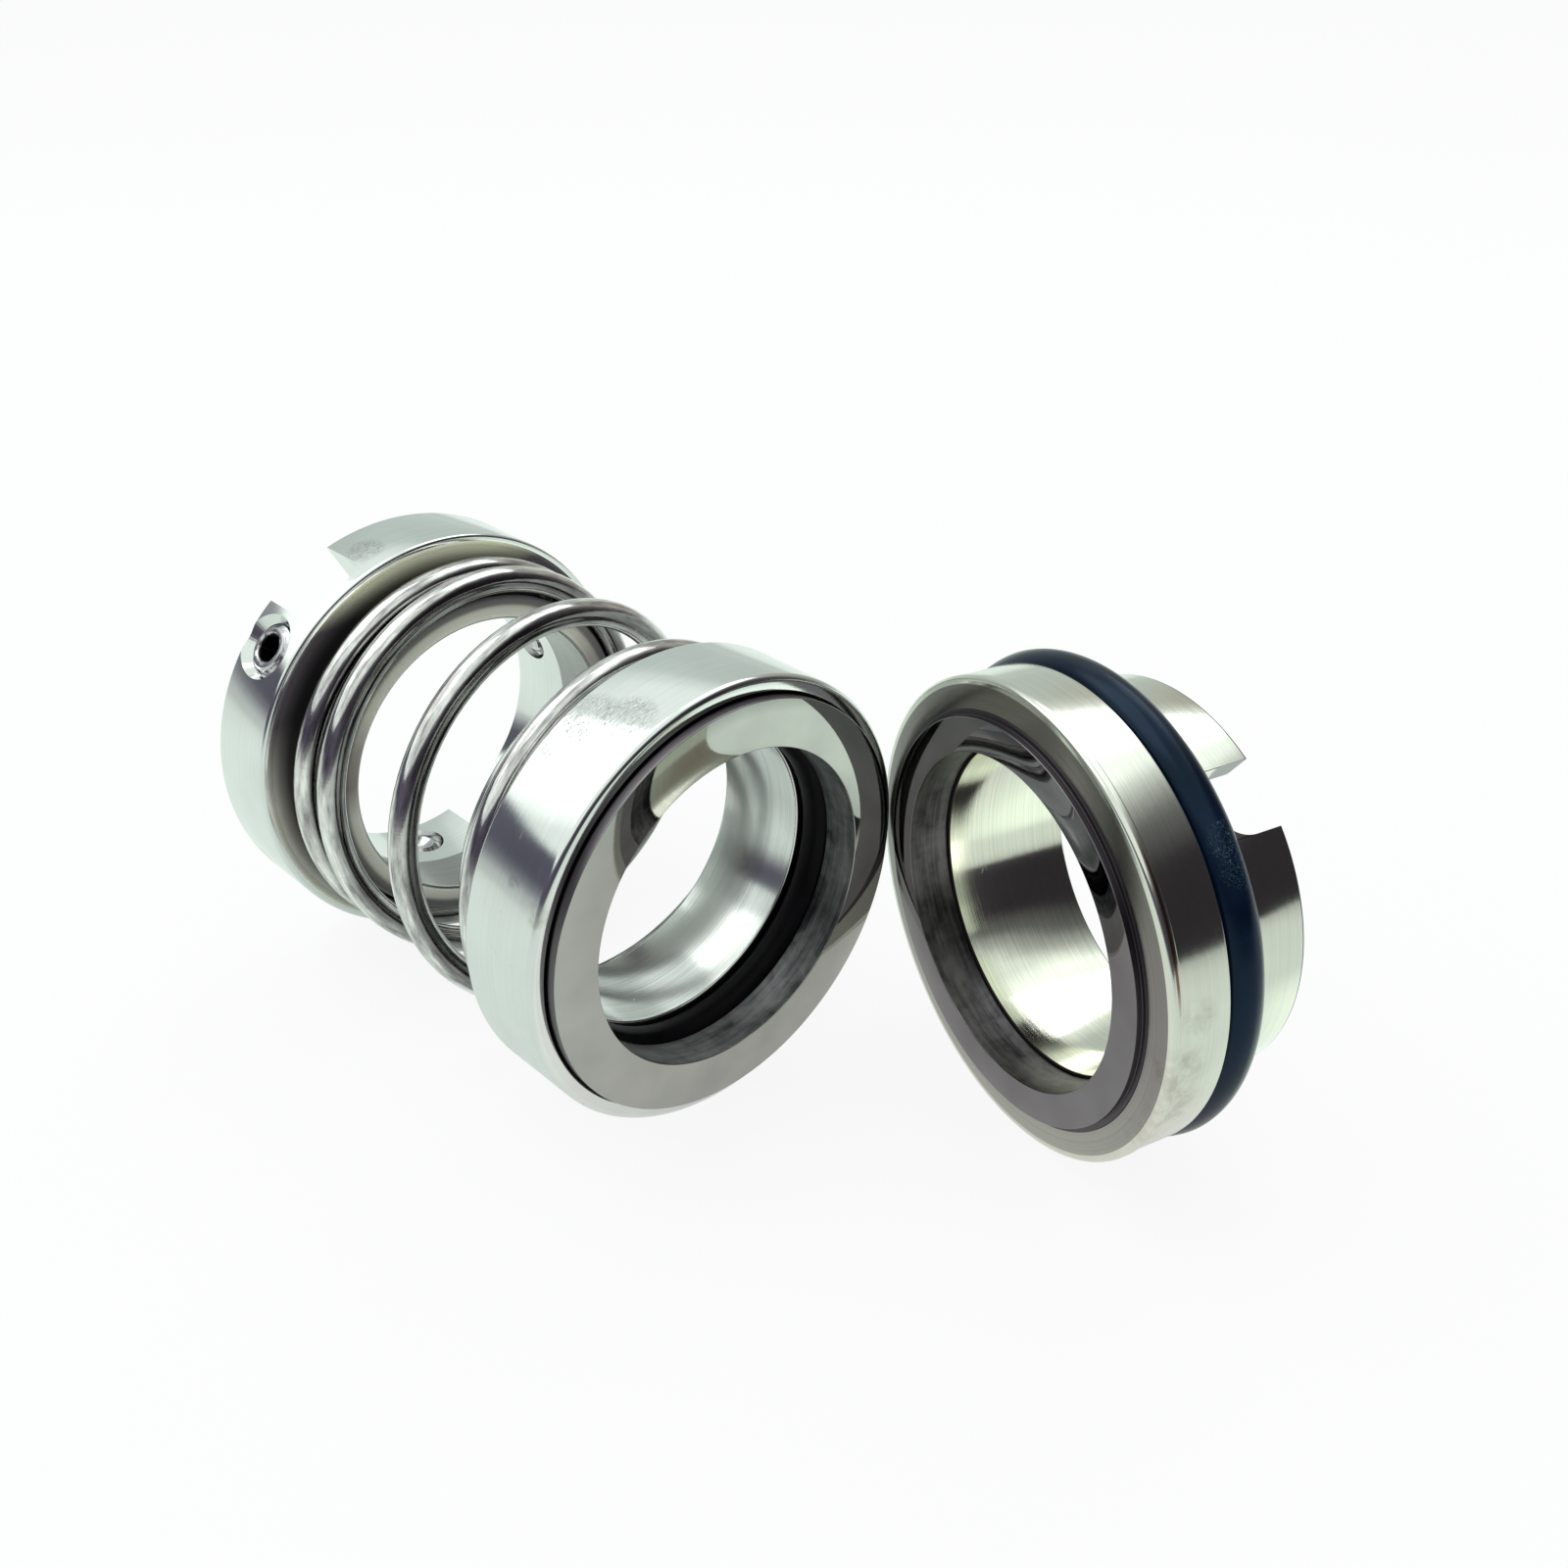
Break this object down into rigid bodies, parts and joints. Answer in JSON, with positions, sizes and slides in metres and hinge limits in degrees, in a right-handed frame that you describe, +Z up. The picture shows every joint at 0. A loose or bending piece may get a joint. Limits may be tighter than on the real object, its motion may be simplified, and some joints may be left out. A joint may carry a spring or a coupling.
{
  "type": "mechanical shaft seal",
  "caption": "Single-spring component shaft seal: rotary unit with drive collar, coil spring, packing ring and carbide face, and its stationary seat with a rubber ring.",
  "frame": {"origin": "centre of the shaft bore at the rear face of the drive collar", "axes": "+Y along the rotary unit's axis, from its running face to the drive collar; +Z up from the surface that both units lie on; +X towards the stationary seat"},
  "size_m": [0.0889, 0.1445, 0.068],
  "materials": {
    "polished_steel": "polished stainless steel with fine turning lines",
    "turned_steel": "fine turned stainless steel",
    "spring_steel": "bright drawn wire",
    "screw_steel": "bright stainless steel",
    "carbide": "lapped face, ground bore and edge",
    "black_rubber": "smooth moulded",
    "blue_rubber": "smooth moulded with a soft sheen"
  },
  "bodies": {
    "collar_and_seat": {"drive_collar": "polished_steel", "coil_spring": "spring_steel", "seat_holder": "turned_steel", "seat_face_insert": "carbide", "seat_o_ring": "blue_rubber"},
    "head": {"thrust_ring": "polished_steel", "packing_o_ring": "black_rubber", "rotary_holder": "polished_steel", "rotary_face_insert": "carbide"},
    "screw_1": {"set_screw_1": "screw_steel"},
    "screw_2": {"set_screw_2": "screw_steel"},
    "screw_3": {"set_screw_3": "screw_steel"}
  },
  "joints": [
    {"name": "head_slide", "type": "slide", "parent": "collar_and_seat", "child": "head", "axis": [0, 1, 0], "range_m": [0, 0.026], "stiffness_N_per_m": 5000, "deforming": ["coil_spring"]},
    {"name": "set_screw_1", "type": "slide", "parent": "collar_and_seat", "child": "screw_1", "axis": [-0.7431, 0, 0.6691], "range_m": [-0.001, 0.004]},
    {"name": "set_screw_2", "type": "slide", "parent": "collar_and_seat", "child": "screw_2", "axis": [0.9511, 0, 0.309], "range_m": [-0.001, 0.004]},
    {"name": "set_screw_3", "type": "slide", "parent": "collar_and_seat", "child": "screw_3", "axis": [-0.2079, 0, -0.9781], "range_m": [-0.001, 0.004]}
  ]
}
